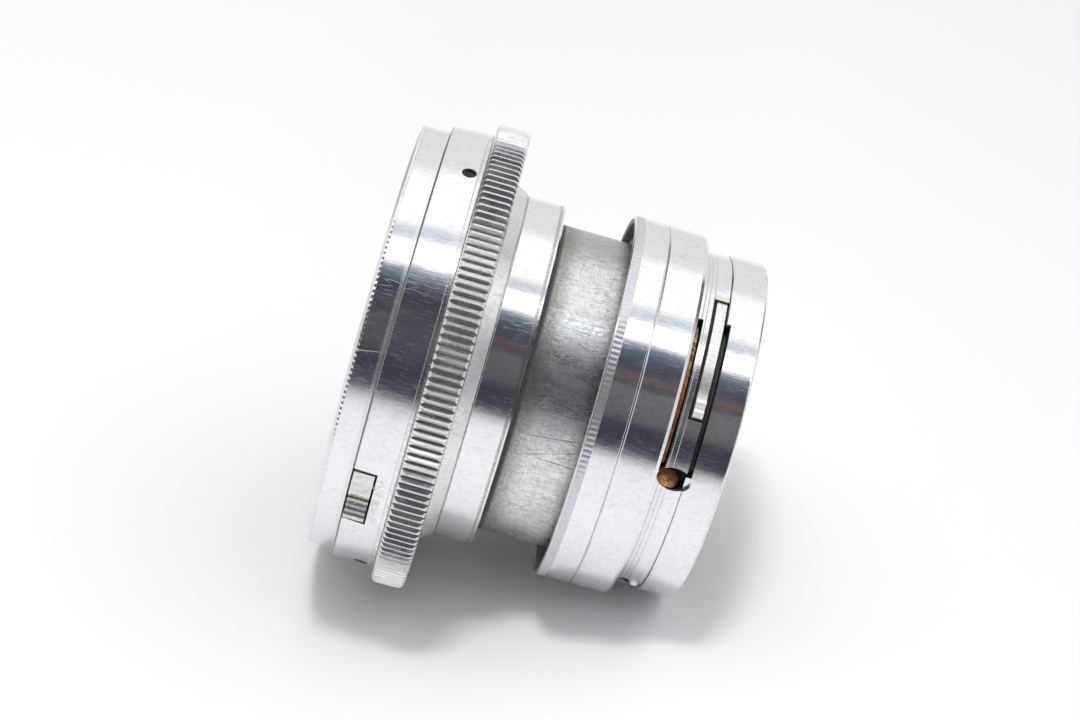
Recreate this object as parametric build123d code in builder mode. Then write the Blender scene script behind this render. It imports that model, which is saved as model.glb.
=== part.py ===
"""Enlarger lens in a focusing mount, as an assembly of separate turned pieces.

The optical axis is the X axis. The mount's rear seat is at x = 0 and light leaves through the
front at x = 44.8. Angles go about the axis from +Y towards +Z. All sizes are in millimetres.
"""
from build123d import *
import os
from math import cos, hypot, radians, sin, sqrt

os.makedirs("parts", exist_ok=True)

# Stations along the optical axis, as seen outside
rear_ring_end = 3.6
body_end = 8.7
focus_ring_end = 12.9
thrust_collar_end = 14.65
guide_collar_end = 19.4
skirt_lip = 27.8
aperture_ring_end = 32.1
index_ring_end = 36.9
groove_end = 40.4
front_end = 44.8

# Radii of the outside
rear_ring_radius = 26.4
body_radius = 27.2
body_front_radius = 27.45
focus_ring_radius = 29.0
thrust_collar_radius = 22.6
guide_collar_radius = 21.55
tube_radius = 19.35
head_radius = 22.85
groove_radius = 20.95
band_height = 0.12
front_ring_radius = 21.35
front_edge = 0.4

# Bores, walls and running gaps
socket_radius = 21.5
relief_radius = 22.0
tube_bore = 18.35
barrel_bore = tube_radius + 0.05
barrel_hub_radius = 23.9
barrel_nose_radius = 21.0
barrel_nose_end = 16.4
barrel_flange_radius = 26.0
barrel_flange_start = 8.1
head_hub_radius = 20.4
head_bore = 17.5
head_neck_radius = 18.9
skirt_bore = 21.9
filter_bore = 19.25
running_gap = 0.05

# Knurls
coarse_teeth = 180
coarse_depth = 0.42
coarse_crest = 0.22
fine_teeth = 247
fine_depth = 0.06
band_teeth = 216
band_depth = 0.03
band_start = 28.05
band_end = 28.95

# Focusing drive: a pin in the ring follows a helical slot in the tube
focus_lead = 18.0
focus_back_turn = 160
focus_forward_turn = 20
drive_pin_radius = 0.8
drive_slot_width = 1.8
drive_pin_x = 10.5
drive_pin_angle = 200
key_angle = 270
key_width = 2.0
key_start = 9.0
key_length = 2.0
travel_back = focus_lead * focus_back_turn / 360
travel_forward = focus_lead * focus_forward_turn / 360
tube_start = 8.0
tube_end = 33.0

# Iris
blade_count = 8
blade_inner = 9.2
blade_outer = 13.5
blade_span = 96
blade_layer = 0.12
blade_thickness = 0.08
blade_first_x = 31.62
pivot_circle = 14.4
pivot_radius = 0.5
drive_offset = 14
follower_radius = 0.42
iris_turn = 42
blade_turn = 30
cam_web_start = 30.9
cam_web_end = 31.5
base_plate_start = 32.65
base_plate_end = 33.4
lug_x = 30.8
lug_radius = 0.5
lug_angle = 300

# Release catch in the body's window
catch_top = 183.4
catch_ridge = 188.9
catch_bottom = 199.6
catch_start = 3.75
catch_end = 6.2
catch_pivot_angle = 190.5
catch_pivot_circle = 25.0
catch_pin_radius = 0.5
bolt_tip = 21.15
window_end = 6.45
window_floor = 22.4

# Spring tongue and catches of the front groove
slit_first = 113.9
slit_last = 166
rear_slit_start = 37.0
rear_slit_end = 37.75
front_slit_end = 40.97
end_hole_x = 39.1
end_hole_angle = 167.4
end_hole_length = 4.08
end_hole_height = 2.74
step_angle = 104.2
upper_nub_angle = 143.7
lower_nub_angle = 224
leaf_x = 39.62
stud_x = 39.5

set_screw_angles = (99.3, 225, 345)
set_screw_x = 7.07
set_screw_radius = 0.88
barrel_screw_angles = (40, 150, 285)
barrel_screw_circle = 24.2


def polar(radius, angle):
    """A point of a sketch across the axis, given by its radius and its angle."""
    return radius * cos(radians(angle)), radius * sin(radians(angle))


def radial_plane(x, angle, radius):
    """A plane that faces outwards at this place, with its X along the optical axis."""
    y, z = polar(radius, angle)
    return Plane(origin=(x, y, z), x_dir=(1, 0, 0), z_dir=(0, *polar(1, angle)))


def section(*points):
    """A half section of (x, radius) points, to be spun about the optical axis."""
    with BuildSketch(Plane.XY) as half:
        with BuildLine():
            Polyline(*points, close=True)
        make_face()
    return half.sketch


def tube_section(start, end, inner, outer, chamfer_size=0.0):
    """The half section of a plain ring, with its outer corners taken off."""
    c = chamfer_size
    if not c:
        return section((start, inner), (end, inner), (end, outer), (start, outer))
    return section(
        (start, inner), (end, inner), (end, outer - c), (end - c, outer),
        (start + c, outer), (start, outer - c),
    )


def sector(x, inner, outer, start, stop):
    """A stretch of a ring, in the plane across the axis at x."""
    middle = (start + stop) / 2
    with BuildSketch(Plane.YZ.offset(x)) as face:
        with BuildLine():
            ThreePointArc(polar(outer, start), polar(outer, middle), polar(outer, stop))
            Line(polar(outer, stop), polar(inner, stop))
            ThreePointArc(polar(inner, stop), polar(inner, middle), polar(inner, start))
            Line(polar(inner, start), polar(outer, start))
        make_face()
    return face.sketch


def milled_outline(x, radius, depth, teeth, crest=0.16):
    """The outline of a round bar with straight V-shaped grooves milled all round."""
    pitch = 360 / teeth
    points = []
    for tooth in range(teeth):
        angle = tooth * pitch
        points += [
            polar(radius, angle - crest * pitch / 2),
            polar(radius, angle + crest * pitch / 2),
            polar(radius - depth, angle + pitch / 2),
        ]
    with BuildSketch(Plane.YZ.offset(x)) as outline:
        with BuildLine():
            Polyline(*points, close=True)
        make_face()
    return outline.sketch


def lens_section(rear, front, radius, rear_bulge, front_bulge):
    """A lens between two rim planes. A bulge is how far a face stands out at its middle."""
    def sphere(rim, bulge, outwards):
        curve = (radius**2 + bulge**2) / (2 * abs(bulge))
        drop = curve - sqrt(curve**2 - (radius / 2) ** 2)
        height = abs(bulge) - drop
        side = outwards if bulge > 0 else -outwards
        return (rim + side * abs(bulge), 0), (rim + side * height, radius / 2), (rim, radius)

    rear_points = sphere(rear, rear_bulge, -1)
    front_points = sphere(front, front_bulge, 1)
    with BuildSketch(Plane.XY) as half:
        with BuildLine():
            ThreePointArc(*rear_points)
            Line((rear, radius), (front, radius))
            ThreePointArc(*reversed(front_points))
            Line(front_points[0], rear_points[0])
        make_face()
    return half.sketch


def finish(piece, name):
    """Name a finished piece and write it."""
    piece.part.label = name
    export_step(piece.part, f"parts/{name}.step")


# ---------------------------------------------------------------- mount

with BuildPart() as rear_ring:
    revolve(tube_section(0.5, rear_ring_end, socket_radius, rear_ring_radius, 0.12), axis=Axis.X)
    extrude(milled_outline(0, rear_ring_radius, fine_depth, fine_teeth), amount=0.55)
    keep = section(
        (0, socket_radius + 0.3), (0.3, socket_radius), (rear_ring_end, socket_radius),
        (rear_ring_end, rear_ring_radius + 1), (0.36, rear_ring_radius + 0.02),
        (0, rear_ring_radius - 0.3),
    )
    revolve(keep, axis=Axis.X, mode=Mode.INTERSECT)
    with BuildSketch(Plane.YZ.offset(rear_ring_end)) as pin_seat:
        with Locations(polar(catch_pivot_circle, catch_pivot_angle)):
            Circle(catch_pin_radius)
    extrude(amount=-0.6, mode=Mode.SUBTRACT)
finish(rear_ring, "rear_ring")

with BuildPart() as body_ring:
    revolve(
        section(
            (rear_ring_end, relief_radius), (barrel_flange_start, relief_radius),
            (barrel_flange_start, barrel_flange_radius), (body_end, barrel_flange_radius),
            (body_end, body_front_radius - 0.1), (body_end - 0.1, body_front_radius),
            (body_end - 0.45, body_front_radius), (body_end - 0.5, body_front_radius - 0.08),
            (body_end - 0.6, body_front_radius - 0.02), (rear_ring_end + 0.1, body_radius),
            (rear_ring_end, body_radius - 0.1),
        ),
        axis=Axis.X,
    )
    extrude(
        sector(rear_ring_end, window_floor, body_radius + 1, catch_top - 0.8, catch_bottom + 0.6),
        amount=window_end - rear_ring_end, mode=Mode.SUBTRACT,
    )
    extrude(
        sector(catch_start + 0.25, socket_radius - 1, window_floor + 1, catch_top - 2.4, catch_top + 4),
        amount=1.9, mode=Mode.SUBTRACT,
    )
    with BuildSketch(Plane.YZ.offset(window_end)) as pin_hole:
        with Locations(polar(catch_pivot_circle, catch_pivot_angle)):
            Circle(catch_pin_radius)
    extrude(amount=0.9, mode=Mode.SUBTRACT)
    for angle in set_screw_angles:
        with BuildSketch(radial_plane(set_screw_x, angle, socket_radius - 1)) as screw_hole:
            Circle(set_screw_radius)
        extrude(amount=8, mode=Mode.SUBTRACT)
    for angle in barrel_screw_angles:
        with BuildSketch(Plane.YZ.offset(barrel_flange_start)) as thread_hole:
            with Locations(polar(barrel_screw_circle, angle)):
                Circle(0.8)
        extrude(amount=-3, mode=Mode.SUBTRACT)
finish(body_ring, "body_ring")

with BuildPart() as set_screws:
    for angle in set_screw_angles:
        with BuildSketch(radial_plane(set_screw_x, angle, socket_radius + 0.2)) as shank:
            Circle(set_screw_radius)
        extrude(amount=4.4)
        with BuildSketch(radial_plane(set_screw_x, angle, socket_radius + 4.6)) as socket:
            RegularPolygon(radius=0.5, side_count=6)
        extrude(amount=-1.2, mode=Mode.SUBTRACT)
finish(set_screws, "set_screws")

with BuildPart() as main_barrel:
    revolve(
        section(
            (barrel_flange_start, barrel_bore), (barrel_nose_end, barrel_bore),
            (barrel_nose_end, barrel_nose_radius), (focus_ring_end - 1.1, barrel_nose_radius),
            (focus_ring_end - 1.1, barrel_hub_radius), (body_end, barrel_hub_radius),
            (body_end, barrel_flange_radius), (barrel_flange_start, barrel_flange_radius),
        ),
        axis=Axis.X,
    )
    slot_first = drive_pin_angle - focus_back_turn - 3
    slot_last = drive_pin_angle + focus_forward_turn + 3
    extrude(
        sector(drive_pin_x - drive_slot_width / 2, barrel_bore - 1, barrel_hub_radius + 1,
               slot_first, slot_last),
        amount=drive_slot_width, mode=Mode.SUBTRACT,
    )
    with BuildSketch(radial_plane(key_start + key_length / 2, key_angle, barrel_bore - 1)) as key_slot:
        Rectangle(key_length, key_width)
    extrude(amount=barrel_hub_radius - barrel_bore + 2, mode=Mode.SUBTRACT)
    for angle in barrel_screw_angles:
        with BuildSketch(Plane.YZ.offset(body_end)) as sink:
            with Locations(polar(barrel_screw_circle, angle)):
                Circle(1.35)
        extrude(amount=-0.6, taper=42, mode=Mode.SUBTRACT)
finish(main_barrel, "main_barrel")

with BuildPart() as barrel_screws:
    for angle in barrel_screw_angles:
        centre = polar(barrel_screw_circle, angle)
        with BuildSketch(Plane.YZ.offset(body_end - 0.05)) as head:
            with Locations(centre):
                Circle(1.3)
        extrude(amount=-0.55, taper=42)
        with BuildSketch(Plane.YZ.offset(barrel_flange_start)) as shank:
            with Locations(centre):
                Circle(0.8)
        extrude(amount=-2.8)
        with BuildSketch(Plane.YZ.offset(body_end - 0.05)) as driver_slot:
            with Locations(centre):
                Rectangle(0.35, 3)
        extrude(amount=-0.3, mode=Mode.SUBTRACT)
finish(barrel_screws, "barrel_screws")

with BuildPart() as thrust_collar:
    with BuildSketch(Plane.XY) as collar_half:
        with BuildLine():
            start = focus_ring_end + running_gap
            Line((start, barrel_nose_radius), (start, thrust_collar_radius))
            Line((start, thrust_collar_radius), (thrust_collar_end - 0.3, guide_collar_radius + 0.25))
            ThreePointArc(
                (thrust_collar_end - 0.3, guide_collar_radius + 0.25),
                (thrust_collar_end - 0.12, guide_collar_radius + 0.12),
                (thrust_collar_end - 0.05, guide_collar_radius - 0.05),
            )
            Line(
                (thrust_collar_end - 0.05, guide_collar_radius - 0.05),
                (thrust_collar_end - 0.05, barrel_nose_radius),
            )
            Line((thrust_collar_end - 0.05, barrel_nose_radius), (start, barrel_nose_radius))
        make_face()
    revolve(axis=Axis.X)
finish(thrust_collar, "thrust_collar")

felt_start = barrel_nose_end + 0.1
felt_end = guide_collar_end - 0.9
with BuildPart() as guide_collar:
    revolve(
        section(
            (thrust_collar_end, barrel_nose_radius), (barrel_nose_end, barrel_nose_radius),
            (barrel_nose_end, 20.4), (felt_end, 20.4), (felt_end, barrel_bore + 0.1),
            (guide_collar_end, barrel_bore + 0.1), (guide_collar_end, guide_collar_radius - 0.2),
            (guide_collar_end - 0.15, guide_collar_radius), (guide_collar_end - 0.4, guide_collar_radius),
            (guide_collar_end - 0.45, guide_collar_radius - 0.1),
            (guide_collar_end - 0.55, guide_collar_radius - 0.1),
            (guide_collar_end - 0.6, guide_collar_radius),
            (thrust_collar_end + 0.12, guide_collar_radius), (thrust_collar_end, guide_collar_radius - 0.12),
        ),
        axis=Axis.X,
    )
finish(guide_collar, "guide_collar")

with BuildPart() as felt_ring:
    revolve(tube_section(felt_start, felt_end - 0.1, barrel_bore + 0.05, 20.4), axis=Axis.X)
finish(felt_ring, "felt_ring")

with BuildPart() as guide_key:
    with BuildSketch(radial_plane(key_start + key_length / 2, key_angle, tube_bore + 0.15)) as key_face:
        Rectangle(key_length, key_width)
    extrude(amount=barrel_hub_radius - tube_bore - 0.2)
finish(guide_key, "guide_key")

# ---------------------------------------------------------------- release catch

with BuildPart() as catch_pin:
    with BuildSketch(Plane.YZ.offset(rear_ring_end - 0.6)) as pin_end:
        with Locations(polar(catch_pivot_circle, catch_pivot_angle)):
            Circle(catch_pin_radius)
    extrude(amount=window_end + 0.9 - rear_ring_end + 0.6)
finish(catch_pin, "catch_pin")

with BuildPart() as release_catch:
    with BuildSketch(Plane.YZ.offset(catch_start)) as rocker_side:
        with BuildLine():
            Polyline(
                polar(27.25, catch_top), polar(28.05, catch_ridge - 0.6), polar(28.0, catch_ridge),
                polar(27.3, catch_bottom), polar(24.6, catch_bottom - 0.3), polar(24.2, 193),
                polar(23.9, catch_pivot_angle), polar(23.4, 187), polar(23.3, catch_top),
                close=True,
            )
        make_face()
    extrude(amount=catch_end - catch_start)
    for rib in range(4):
        angle = catch_ridge + 1.3 + 2.4 * rib
        surface = 28.0 - 0.7 * (angle - catch_ridge) / (catch_bottom - catch_ridge)
        with BuildSketch(Plane.YZ.offset(catch_start)) as groove:
            with Locations(polar(surface + 0.05, angle)):
                Circle(0.36)
        extrude(amount=catch_end - catch_start, mode=Mode.SUBTRACT)
    extrude(sector(catch_start + 0.55, bolt_tip, 23.5, catch_top, catch_top + 2.6), amount=1.2)
    with BuildSketch(Plane.YZ.offset(catch_start)) as pivot_hole:
        with Locations(polar(catch_pivot_circle, catch_pivot_angle)):
            Circle(catch_pin_radius + 0.04)
    extrude(amount=catch_end - catch_start, mode=Mode.SUBTRACT)
finish(release_catch, "release_catch")

with BuildPart() as catch_spring:
    with BuildSketch(Plane.YZ.offset(catch_start + 0.4)) as leaf_side:
        with BuildLine():
            Polyline(
                polar(22.5, 190), polar(22.5, 194), polar(22.5, 198.3), polar(24.2, 198.6),
                polar(24.25, 195), polar(24.1, 195), polar(24.05, 198.1), polar(22.7, 197.8),
                polar(22.7, 190), close=True,
            )
        make_face()
    extrude(amount=1.5)
finish(catch_spring, "catch_spring")

# ---------------------------------------------------------------- focusing ring

ring_start = body_end + running_gap
lip_start = focus_ring_end - 1.05
with BuildPart() as focus_ring:
    extrude(
        milled_outline(ring_start, focus_ring_radius, coarse_depth, coarse_teeth, coarse_crest),
        amount=focus_ring_end - ring_start,
    )
    blank = section(
        (ring_start, barrel_hub_radius + running_gap), (lip_start, barrel_hub_radius + running_gap),
        (lip_start, barrel_nose_radius + running_gap),
        (focus_ring_end, barrel_nose_radius + running_gap),
        (focus_ring_end, focus_ring_radius - 0.62), (focus_ring_end - 0.12, focus_ring_radius - 0.32),
        (focus_ring_end - 0.42, focus_ring_radius - 0.05), (focus_ring_end - 0.75, focus_ring_radius),
        (ring_start + 0.75, focus_ring_radius), (ring_start + 0.42, focus_ring_radius - 0.05),
        (ring_start + 0.12, focus_ring_radius - 0.32), (ring_start, focus_ring_radius - 0.62),
    )
    revolve(blank, axis=Axis.X, mode=Mode.INTERSECT)
    with BuildSketch(radial_plane(drive_pin_x, drive_pin_angle, barrel_hub_radius - 1)) as pin_seat:
        Circle(drive_pin_radius)
    extrude(amount=3.6, mode=Mode.SUBTRACT)
finish(focus_ring, "focus_ring")

with BuildPart() as drive_pin:
    with BuildSketch(radial_plane(drive_pin_x, drive_pin_angle, tube_bore + 0.1)) as pin_end:
        Circle(drive_pin_radius)
    extrude(amount=barrel_hub_radius + 2.6 - tube_bore - 0.1)
finish(drive_pin, "drive_pin")

# ---------------------------------------------------------------- tube and head

with BuildPart() as lens_tube:
    revolve(tube_section(tube_start, tube_end, tube_bore, tube_radius, 0.1), axis=Axis.X)
    slot_step = 10
    degrees = focus_back_turn + focus_forward_turn
    for step in range(degrees // slot_step):
        turn = -focus_back_turn + slot_step * (step + 0.5)
        x = drive_pin_x - focus_lead * turn / 360
        run = radians(slot_step) * tube_radius
        rise = focus_lead * slot_step / 360
        with BuildSketch(radial_plane(x, drive_pin_angle + turn, tube_bore - 1)) as cam_slot:
            SlotCenterToCenter(
                hypot(run, rise), drive_slot_width, rotation=Vector(rise, run).get_angle(Vector(1, 0))
            )
        extrude(amount=2.5, mode=Mode.SUBTRACT)
    keyway_start = key_start - travel_forward - 0.2
    keyway_end = key_start + key_length + travel_back + 0.2
    with BuildSketch(
        radial_plane((keyway_start + keyway_end) / 2, key_angle, tube_bore - 1)
    ) as keyway:
        Rectangle(keyway_end - keyway_start, key_width + 0.1)
    extrude(amount=3, mode=Mode.SUBTRACT)
    lug_slot = sector(lug_x - 0.7, tube_bore - 1, tube_radius + 1, lug_angle - 4, lug_angle + iris_turn + 4)
    extrude(lug_slot, amount=1.4, mode=Mode.SUBTRACT)
finish(lens_tube, "lens_tube")

with BuildPart() as light_baffle:
    revolve(
        section((21.6, 13.2), (21.9, 13.0), (22.2, 17.6), (23.4, 17.6), (23.4, tube_bore), (21.6, tube_bore)),
        axis=Axis.X,
    )
finish(light_baffle, "light_baffle")

head_start = 28.6
with BuildPart() as head_barrel:
    revolve(
        section(
            (head_start, tube_radius), (tube_end, tube_radius), (tube_end, head_bore),
            (42.0, head_bore), (42.0, head_neck_radius), (index_ring_end, head_neck_radius),
            (index_ring_end, head_hub_radius), (head_start, head_hub_radius),
        ),
        axis=Axis.X,
    )
    revolve(section((29.5, 19.9), (29.9, 19.9), (29.9, 21), (29.5, 21)), axis=Axis.X, mode=Mode.SUBTRACT)
    extrude(
        sector(lug_x - 0.7, tube_radius - 1, head_hub_radius + 1, lug_angle - 4, lug_angle + iris_turn + 4),
        amount=1.4, mode=Mode.SUBTRACT,
    )
finish(head_barrel, "head_barrel")

with BuildPart() as snap_ring:
    extrude(sector(29.52, 19.9, 21.2, 20, 340), amount=0.36)
finish(snap_ring, "snap_ring")

with BuildPart() as index_ring:
    revolve(
        section(
            (aperture_ring_end + 0.02, head_hub_radius), (index_ring_end, head_hub_radius),
            (index_ring_end, head_radius - 0.28), (index_ring_end - 0.4, head_radius),
            (aperture_ring_end + 0.17, head_radius), (aperture_ring_end + 0.02, head_radius - 0.12),
        ),
        axis=Axis.X,
    )
finish(index_ring, "index_ring")

leaf_start = leaf_x - 0.65
leaf_end = leaf_x + 0.65
with BuildPart() as groove_ring:
    revolve(
        section(
            (index_ring_end, head_neck_radius), (37.3, head_neck_radius), (37.3, 19.75),
            (40.0, 19.75), (40.0, head_neck_radius), (groove_end - 0.05, head_neck_radius),
            (groove_end - 0.05, groove_radius + band_height), (38.62, groove_radius + band_height),
            (38.55, groove_radius), (38.1, groove_radius), (38.05, groove_radius - 0.06),
            (37.95, groove_radius), (37.6, groove_radius), (37.55, groove_radius - 0.06),
            (37.45, groove_radius), (index_ring_end, groove_radius),
        ),
        axis=Axis.X,
    )
    extrude(
        sector(rear_slit_start, head_neck_radius - 1, 24, slit_first, slit_last),
        amount=rear_slit_end - rear_slit_start, mode=Mode.SUBTRACT,
    )
    with BuildSketch(radial_plane(end_hole_x, end_hole_angle, head_neck_radius - 1)) as end_hole:
        Ellipse(end_hole_length / 2, end_hole_height / 2)
    extrude(amount=4, mode=Mode.SUBTRACT)
    extrude(
        sector(38.58, groove_radius - 0.35, 24, step_angle, upper_nub_angle + 4),
        amount=groove_end - 38.58, mode=Mode.SUBTRACT,
    )
    with BuildSketch(radial_plane(stud_x - 0.55, lower_nub_angle, head_neck_radius - 1)) as stud_hole:
        SlotOverall(2.6, 1.7)
    extrude(amount=4, mode=Mode.SUBTRACT)
finish(groove_ring, "groove_ring")

with BuildPart() as catch_leaf:
    floor = groove_radius - 0.35
    extrude(
        sector(leaf_start + 0.05, floor - 1, floor + 0.22, step_angle + 0.3, upper_nub_angle),
        amount=leaf_end - leaf_start - 0.1,
    )
    for side in (-1.5, 1.5):
        with BuildSketch(Plane.YZ.offset(leaf_start + 0.05)) as hump:
            with Locations(polar(floor + 0.12, upper_nub_angle + side)):
                Circle(0.62)
        extrude(amount=leaf_end - leaf_start - 0.1)
    extrude(
        sector(leaf_start, floor, 24, step_angle, upper_nub_angle + 8),
        amount=leaf_end - leaf_start, mode=Mode.INTERSECT,
    )
finish(catch_leaf, "catch_leaf")

with BuildPart() as catch_stud:
    with BuildSketch(radial_plane(stud_x, lower_nub_angle, head_neck_radius + 0.05)) as stud_foot:
        Circle(0.6)
    extrude(amount=2.1)
    with BuildSketch(radial_plane(stud_x, lower_nub_angle, head_neck_radius + 2.15)) as stud_head:
        Circle(0.6)
    extrude(amount=0.35, taper=35)
finish(catch_stud, "catch_stud")

with BuildPart() as front_ring:
    with BuildSketch(Plane.XY) as front_half:
        with BuildLine():
            Polyline(
                (front_end, front_ring_radius - front_edge), (front_end, filter_bore + 0.25),
                (front_end - 0.25, filter_bore), (42.4, filter_bore), (42.4, 18.95),
                (42.0, head_neck_radius), (groove_end, head_neck_radius),
                (groove_end, front_ring_radius - 0.1), (groove_end + 0.1, front_ring_radius),
                (front_end - front_edge, front_ring_radius),
            )
            ThreePointArc(
                (front_end - front_edge, front_ring_radius),
                (front_end - 0.3 * front_edge, front_ring_radius - 0.3 * front_edge),
                (front_end, front_ring_radius - front_edge),
            )
        make_face()
    revolve(axis=Axis.X)
    extrude(
        sector(groove_end, head_neck_radius + 0.3, 24, slit_first, slit_last),
        amount=front_slit_end - groove_end, mode=Mode.SUBTRACT,
    )
    with BuildSketch(radial_plane(end_hole_x, end_hole_angle, front_ring_radius - 0.75)) as end_hole:
        Ellipse(end_hole_length / 2, end_hole_height / 2)
    extrude(amount=4, mode=Mode.SUBTRACT)
finish(front_ring, "front_ring")

# ---------------------------------------------------------------- aperture drive

with BuildPart() as aperture_ring:
    revolve(
        section(
            (skirt_lip, skirt_bore + 0.15), (skirt_lip + 0.15, skirt_bore), (30.1, skirt_bore),
            (30.1, head_hub_radius + running_gap), (aperture_ring_end - 0.02, head_hub_radius + running_gap),
            (aperture_ring_end - 0.02, head_radius - 0.12), (aperture_ring_end - 0.17, head_radius),
            (band_end + 0.1, head_radius), (band_end, head_radius - band_depth),
            (band_start, head_radius - band_depth), (band_start - 0.1, head_radius),
            (skirt_lip + 0.1, head_radius), (skirt_lip, head_radius - 0.1),
        ),
        axis=Axis.X,
    )
    extrude(milled_outline(band_start, head_radius, band_depth, band_teeth), amount=band_end - band_start)
    revolve(tube_section(band_start, band_end, 0, skirt_bore), axis=Axis.X, mode=Mode.SUBTRACT)
    with BuildSketch(radial_plane(lug_x, lug_angle, head_hub_radius - 1)) as lug_hole:
        Circle(lug_radius)
    extrude(amount=2.8, mode=Mode.SUBTRACT)
finish(aperture_ring, "aperture_ring")

with BuildPart() as aperture_lug:
    with BuildSketch(radial_plane(lug_x, lug_angle, 15.9)) as lug_end:
        Circle(lug_radius)
    extrude(amount=head_hub_radius + 1.8 - 15.9)
finish(aperture_lug, "aperture_lug")


def follower_place(turn):
    """Where a blade's follower stands once the blade has swung in by this many degrees."""
    start_y, start_z = polar(pivot_circle, drive_offset)
    arm_y, arm_z = start_y - pivot_circle, start_z
    c, s = cos(radians(turn)), sin(radians(turn))
    return Vector(pivot_circle + arm_y * c - arm_z * s, arm_y * s + arm_z * c)


with BuildPart() as cam_ring:
    revolve(
        section(
            (30.15, 15.6), (cam_web_start, 15.6), (cam_web_start, 11.5), (cam_web_end, 11.5),
            (cam_web_end, 16.95), (30.15, 16.95),
        ),
        axis=Axis.X,
    )
    with BuildSketch(Plane.YZ.offset(cam_web_start)) as cam_slots:
        with PolarLocations(0, blade_count):
            SlotArc(
                ThreePointArc(
                    *(follower_place(blade_turn * share).rotate(Axis.Z, -iris_turn * share)
                      for share in (0, 0.5, 1)),
                    mode=Mode.PRIVATE,
                ),
                2 * follower_radius + 0.24,
            )
    extrude(amount=cam_web_end - cam_web_start, mode=Mode.SUBTRACT)
    with BuildSketch(radial_plane(lug_x, lug_angle, 15.9)) as lug_seat:
        Circle(lug_radius)
    extrude(amount=3, mode=Mode.SUBTRACT)
finish(cam_ring, "cam_ring")

with BuildPart() as iris_housing:
    revolve(
        section(
            (29.55, 17.0), (base_plate_start, 17.0), (base_plate_start, blade_inner + 0.1),
            (base_plate_end, blade_inner + 0.4), (base_plate_end, head_bore), (29.55, head_bore),
        ),
        axis=Axis.X,
    )
    with BuildSketch(Plane.YZ.offset(base_plate_start)) as pivot_holes:
        with PolarLocations(pivot_circle, blade_count):
            Circle(pivot_radius + 0.04)
    extrude(amount=base_plate_end - base_plate_start, mode=Mode.SUBTRACT)
    extrude(
        sector(lug_x - 0.65, 16.5, head_bore + 1, lug_angle - 4, lug_angle + iris_turn + 4),
        amount=1.3, mode=Mode.SUBTRACT,
    )
finish(iris_housing, "iris_housing")

with BuildPart() as iris_retainer:
    extrude(sector(29.65, 15.4, 17.0, 10, 350), amount=0.4)
finish(iris_retainer, "iris_retainer")

for number in range(blade_count):
    angle = 360 * number / blade_count
    x = blade_first_x + blade_layer * number
    with BuildPart() as blade:
        extrude(sector(x, blade_inner, blade_outer, angle - 4, angle + blade_span), amount=blade_thickness)
        extrude(
            sector(x, blade_outer - 0.1, pivot_circle + 0.7, angle - 3.5, angle + drive_offset + 3.5),
            amount=blade_thickness,
        )
        with BuildSketch(Plane.YZ.offset(x)) as pivot:
            with Locations(polar(pivot_circle, angle)):
                Circle(pivot_radius)
        extrude(amount=base_plate_end - 0.1 - x)
        with BuildSketch(Plane.YZ.offset(x)) as follower:
            with Locations(polar(pivot_circle, angle + drive_offset)):
                Circle(follower_radius)
        extrude(amount=cam_web_start + 0.05 - x)
    finish(blade, f"iris_blade_{number + 1}")

# ---------------------------------------------------------------- optics

with BuildPart() as front_cell:
    revolve(
        section(
            (33.45, 10.0), (34.6, 10.0), (34.6, 10.8), (37.4, 10.8), (37.4, 12.2), (41.3, 12.2),
            (41.3, head_bore), (33.45, head_bore),
        ),
        axis=Axis.X,
    )
finish(front_cell, "front_cell")

with BuildPart() as second_element:
    revolve(lens_section(34.65, 36.4, 10.8, -0.7, -0.9), axis=Axis.X)
finish(second_element, "second_element")

with BuildPart() as element_spacer:
    revolve(tube_section(36.4, 37.35, 9.9, 10.8), axis=Axis.X)
finish(element_spacer, "element_spacer")

with BuildPart() as front_element:
    revolve(lens_section(37.4, 39.6, 12.2, -0.15, 2.1), axis=Axis.X)
finish(front_element, "front_element")

with BuildPart() as front_retainer:
    revolve(
        section((39.6, 12.2), (39.95, 11.4), (41.3, 11.7), (41.3, 12.2)), axis=Axis.X
    )
    with BuildSketch(Plane.YZ.offset(41.3)) as key_slots:
        Rectangle(30, 0.9)
    extrude(amount=-0.5, mode=Mode.SUBTRACT)
finish(front_retainer, "front_retainer")

with BuildPart() as trim_ring:
    steps = 6
    inner, outer = 13.0, 18.9
    step_width = (outer - inner) / steps
    stairs = [(41.5, inner)]
    for step in range(1, steps + 1):
        edge = inner + step * step_width
        stairs += [(41.4 + 0.14 * step, edge - 0.12), (41.52 + 0.14 * step, edge)]
    back = [(42.05, outer - 0.1), (42.05, 17.45), (41.35, 17.4), (41.35, inner)]
    revolve(section(*stairs, *back), axis=Axis.X)
finish(trim_ring, "trim_ring")

with BuildPart() as rear_cell:
    revolve(
        section(
            (24.6, 9.5), (30.2, 9.5), (30.2, 9.0), (30.7, 9.0), (30.7, 10.9), (28.0, 10.9),
            (28.0, tube_bore), (26.4, tube_bore), (26.4, 12.0), (24.6, 11.0),
        ),
        axis=Axis.X,
    )
finish(rear_cell, "rear_cell")

with BuildPart() as rear_negative_element:
    revolve(lens_section(28.2, 30.15, 9.5, -0.9, -0.5), axis=Axis.X)
finish(rear_negative_element, "rear_negative_element")

with BuildPart() as rear_positive_element:
    revolve(lens_section(26.4, 28.2, 9.5, 1.2, 0.9), axis=Axis.X)
finish(rear_positive_element, "rear_positive_element")

with BuildPart() as rear_retainer:
    revolve(section((25.3, 9.5), (25.3, 8.8), (26.15, 8.8), (26.4, 9.5)), axis=Axis.X)
    with BuildSketch(Plane.YZ.offset(25.3)) as key_slots:
        Rectangle(0.9, 24)
    extrude(amount=0.5, mode=Mode.SUBTRACT)
finish(rear_retainer, "rear_retainer")
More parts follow.
